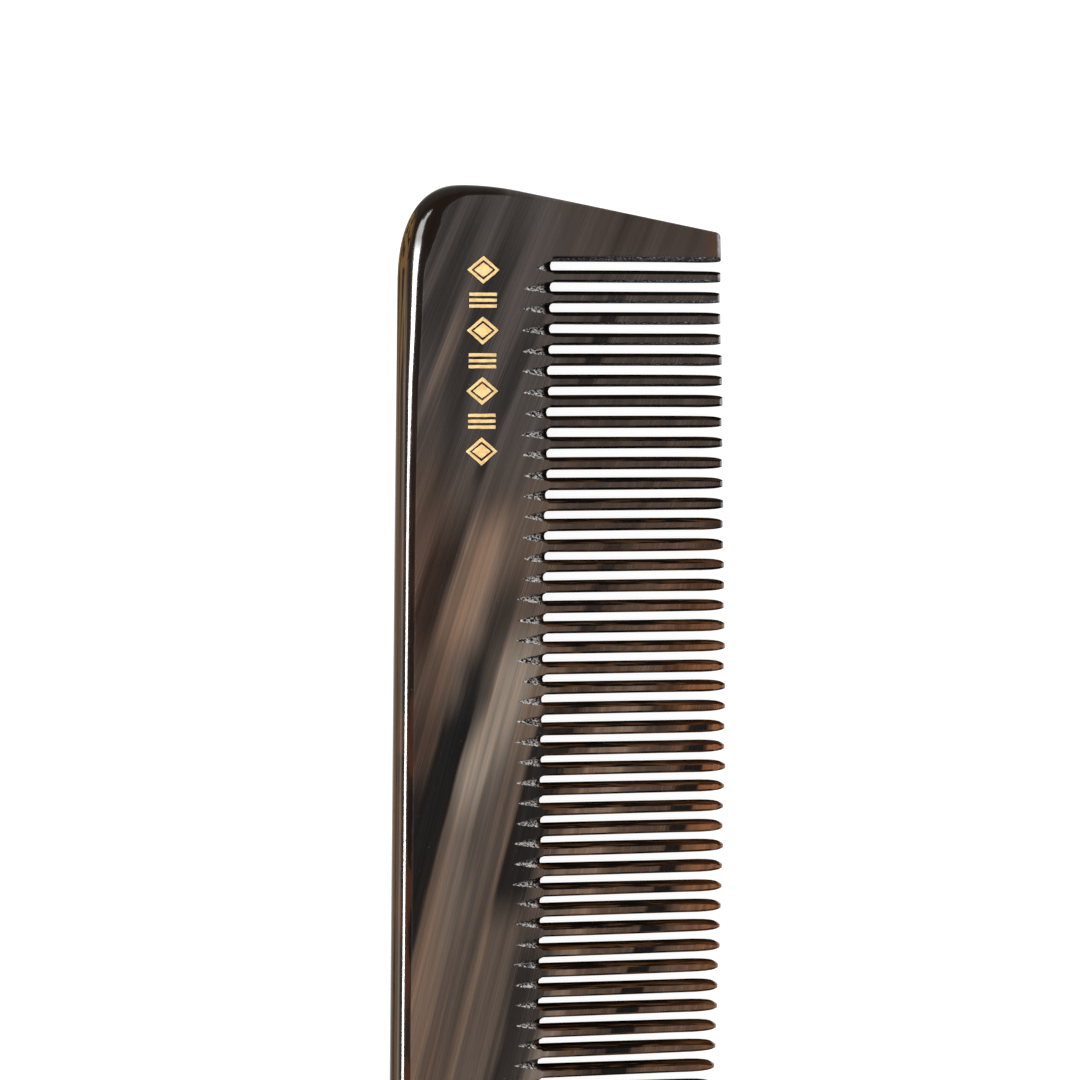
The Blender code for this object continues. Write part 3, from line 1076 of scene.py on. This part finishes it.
@dataclass
class FoilMark:
    """One gold ornament, pressed slightly below the front face."""

    node: str
    stroke: float = 0.46 * MM
    core: float = 0.40 * MM
    bar: float = 0.36 * MM
    sink: float = 0.03 * MM
    foil: float = 0.09 * MM
    margin: float = 0.055 * MM
    pocket: float = 0.10 * MM
    roughness: float = 0.018 * MM

    @property
    def centre(self) -> Vector:
        """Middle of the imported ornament."""
        low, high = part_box(self.node)
        return (low + high) / 2

    @property
    def half(self) -> Vector:
        """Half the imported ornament's size."""
        low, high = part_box(self.node)
        return (high - low) / 2

    @property
    def face_z(self) -> float:
        """Height of the front face."""
        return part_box(self.node)[1].z

    @property
    def shape(self) -> MarkShape:
        """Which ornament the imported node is."""
        return MarkShape.LOZENGE if self.half.y > 1.0 * MM else MarkShape.BARS

    def flat(self, shape: Shape, grow: float, z: float) -> list[Face]:
        """Add the ornament's flat faces.

        Args:
            shape: The bmesh to add to.
            grow: How far every outline moves outwards.
            z: Height of the faces.

        Returns:
            The faces.
        """
        if self.shape is MarkShape.BARS:
            return self.flat_bars(shape, grow, z)
        slant = self.half.xy.length / min(self.half.x, self.half.y)
        size = (self.half.x + grow * slant, self.half.y + grow * slant)
        made = bmesh.ops.create_circle(shape, cap_ends=True, segments=4, radius=1)
        matrix = Matrix.Translation((self.centre.x, self.centre.y, z)) @ Matrix.Diagonal((*size, 1, 1))
        bmesh.ops.transform(shape, matrix=matrix, verts=made["verts"])
        outer = made["verts"][0].link_faces[0]
        frame = bmesh.ops.inset_individual(shape, faces=[outer], thickness=self.stroke + 2 * grow)
        across = min(self.half.x, self.half.y) / 1.33 - self.stroke - self.core
        space = bmesh.ops.inset_individual(shape, faces=[outer], thickness=max(across - 2 * grow, 0.05 * MM))
        bmesh.ops.delete(shape, geom=space["faces"], context="FACES")
        return [face for face in [*frame["faces"], outer] if face.is_valid]

    def flat_bars(self, shape: Shape, grow: float, z: float) -> list[Face]:
        """Add the bars' flat faces, as flat() does."""
        faces = []
        for side in (-1, 0, 1):
            made = bmesh.ops.create_grid(shape, x_segments=1, y_segments=1, size=0.5)
            size = (2 * (self.half.x + grow), self.bar + 2 * grow, 1, 1)
            place = (self.centre.x, self.centre.y + side * (self.half.y - self.bar / 2), z)
            matrix = Matrix.Translation(place) @ Matrix.Diagonal(size)
            bmesh.ops.transform(shape, matrix=matrix, verts=made["verts"])
            faces += list(made["verts"][0].link_faces)
        return faces

    def add_pocket(self, shape: Shape) -> None:
        """Add the solid that presses this ornament's place into the horn."""
        bottom = self.face_z - self.pocket
        part = bmesh.new()
        raise_faces(part, self.flat(part, self.margin, bottom), self.pocket * 3)
        add_part(shape, part)

    def build(self, material: bpy.types.Material) -> Piece:
        """Make the foil.

        Args:
            material: Its finish.

        Returns:
            The finished object.
        """
        rng = random.Random(self.node)
        shape = bmesh.new()
        top = self.face_z - self.sink
        raise_faces(shape, self.flat(shape, 0.0, top - self.foil), self.foil)
        long_edges = [edge for edge in shape.edges if edge.calc_length() > 0.8 * MM]
        bmesh.ops.subdivide_edges(shape, edges=long_edges, cuts=7, use_grid_fill=True)
        for vertex in shape.verts:
            if vertex.co.z > top - self.foil / 2:
                vertex.co.x += rng.uniform(-self.roughness, self.roughness)
                vertex.co.y += rng.uniform(-self.roughness, self.roughness)
        rims = []
        for edge in shape.edges:
            high = all(vertex.co.z > top - self.foil / 2 for vertex in edge.verts)
            upright = len(edge.link_faces) == 2 and edge.calc_face_angle(0) > math.radians(60)
            if high and upright:
                rims.append(edge)
        rounding = {"offset": 0.035 * MM, "affect": "EDGES", "segments": 2, "profile": 0.5, "material": -1}
        bmesh.ops.bevel(shape, geom=rims, **rounding)
        bmesh.ops.remove_doubles(shape, verts=shape.verts, dist=0.001 * MM)
        bmesh.ops.recalc_face_normals(shape, faces=shape.faces)
        made = link_mesh(self.node.replace("mark", "foil"), shape)
        made.data.shade_smooth()
        made.data.set_sharp_from_angle(angle=math.radians(30))
        made.data.materials.append(material)
        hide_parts(self.node)
        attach(made, "root")
        return made


@dataclass
class Studio:
    """The pale table, the soft lights and the camera round the comb."""

    table_size: float = 14.0
    reach: float = 0.95
    cream: Colour = (1.0, 0.90, 0.70)
    aim: Vector = field(default_factory=lambda: Vector((-2.93, 25.93, 3.6)) * MM)
    distance: float = 478.7 * MM
    tilt_across: float = math.radians(14)
    tilt_along: float = math.radians(5)
    roll: float = math.radians(-0.68)
    lens: float = 150.0
    sensor: float = 36.0

    def table(self) -> Piece:
        """Make the white table, evenly lit from inside so that it stays pale under the comb."""
        shape = bmesh.new()
        bmesh.ops.create_grid(shape, x_segments=1, y_segments=1, size=self.table_size)
        made = link_mesh("table", shape)
        material, graph = new_material("lit_table")
        inputs = {
            "Base Color": (0.30, 0.30, 0.30, 1.0),
            "Roughness": 0.9,
            "Specular IOR Level": 0.0,
            "Emission Color": (1.0, 1.0, 1.0, 1.0),
            "Emission Strength": 0.90,
        }
        graph.surface(graph.principled(inputs))
        made.data.materials.append(material)
        return made

    def world(self) -> None:
        """Make the surroundings: pale at the horizon and dimmer overhead."""
        world = bpy.data.worlds.new("studio")
        bpy.context.scene.world = world
        world.use_nodes = True
        graph = Graph(world.node_tree)
        place = graph.node("ShaderNodeTexCoord").outputs["Generated"]
        height = Value(graph, graph.node("ShaderNodeSeparateXYZ", None, {0: place}).outputs[2])
        dim = height.fade(0.30, 0.62)
        colour = graph.mix(dim, (0.96, 0.96, 0.96), (0.06, 0.06, 0.064))
        background = graph.node("ShaderNodeBackground", None, {"Color": colour, "Strength": 1.0})
        graph.node("ShaderNodeOutputWorld", None, {"Surface": background.outputs[0]})

    def panel(
        self, name: str, place: Vector, size: tuple[float, float], power: float, tint: Colour = WHITE
    ) -> Piece:
        """Add a rectangular soft light that faces the comb.

        Args:
            name: The light's name.
            place: Where it stands.
            size: Its size across and along the comb.
            power: Its power in watts.
            tint: Its colour.

        Returns:
            The light's object.
        """
        light = bpy.data.lights.new(name, "AREA")
        light.shape = "RECTANGLE"
        light.size = size[0]
        light.size_y = size[1]
        light.energy = power
        light.color = tint
        made = link_object(name, light)
        forward = (-place).normalized()
        across = forward.cross(Vector((0, 1, 0))).normalized()
        up = across.cross(forward)
        made.matrix_world = Matrix.Translation(place) @ Matrix((across, up, -forward)).transposed().to_4x4()
        made.visible_camera = False
        return made

    def lights(self) -> None:
        """Place long lights beside the back edge, seen in its polished round, and soft ones overhead."""
        beside = [
            ("strip", 31.0, -0.06, (0.12, 0.90), 15.0, WHITE),
            ("flare", 25.6, 0.19, (0.055, 0.40), 3.2, WHITE),
            ("skirt", 57.0, -0.20, (0.22, 0.62), 0.7, self.cream),
        ]
        for name, turn, y, size, power, tint in beside:
            angle = self.tilt_across + math.radians(turn)
            place = Vector((-math.sin(angle) * self.reach, y, math.cos(angle) * self.reach))
            self.panel(name, place, size, power, tint).visible_diffuse = False
        key = self.panel("key", Vector((-0.35, 0.85, 0.80)), (0.8, 0.5), 6.5)
        key.visible_glossy = False
        soft = self.panel("overhead", Vector((-0.25, 0.0, 1.15)), (1.4, 1.4), 13.5)
        soft.visible_glossy = False

    def camera(self) -> Piece:
        """Make the camera, a little to the back edge's side and above the upper half."""
        data = bpy.data.cameras.new("camera")
        data.lens = self.lens
        data.sensor_width = self.sensor
        data.clip_start = 0.01
        data.clip_end = 50.0
        made = link_object("camera", data)
        across, along = self.tilt_across, self.tilt_along
        right = Vector((math.cos(across), 0, math.sin(across)))
        ahead = Vector((math.sin(across), 0, -math.cos(across)))
        forward = ahead * math.cos(along) - Vector((0, math.sin(along), 0))
        up = right.cross(forward)
        turned_right = right * math.cos(self.roll) - up * math.sin(self.roll)
        turned_up = up * math.cos(self.roll) + right * math.sin(self.roll)
        turn = Matrix((turned_right, turned_up, -forward)).transposed().to_4x4()
        made.matrix_world = Matrix.Translation(self.aim - forward * self.distance) @ turn
        bpy.context.scene.camera = made
        return made

    def build(self) -> None:
        """Set the stage and how its light is shown."""
        self.table()
        self.world()
        self.lights()
        self.camera()
        view = bpy.context.scene.view_settings
        view.view_transform = "Standard"
        view.look = "None"


def main() -> None:
    """Build the comb and its studio."""
    logging.basicConfig(level=logging.INFO, format="%(name)s: %(message)s")
    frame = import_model()
    names = sorted(name for name in frame["nodes"] if name.startswith("gold_mark_"))
    marks = [FoilMark(name) for name in names]
    body = HornBody().build(marks)
    LOG.info("%s: %d faces", body.name, len(body.data.polygons))
    foil = FoilFinish().material()
    for mark in marks:
        made = mark.build(foil)
        LOG.info("%s: %d faces", made.name, len(made.data.polygons))
    Studio().build()


if __name__ == "__main__":
    main()
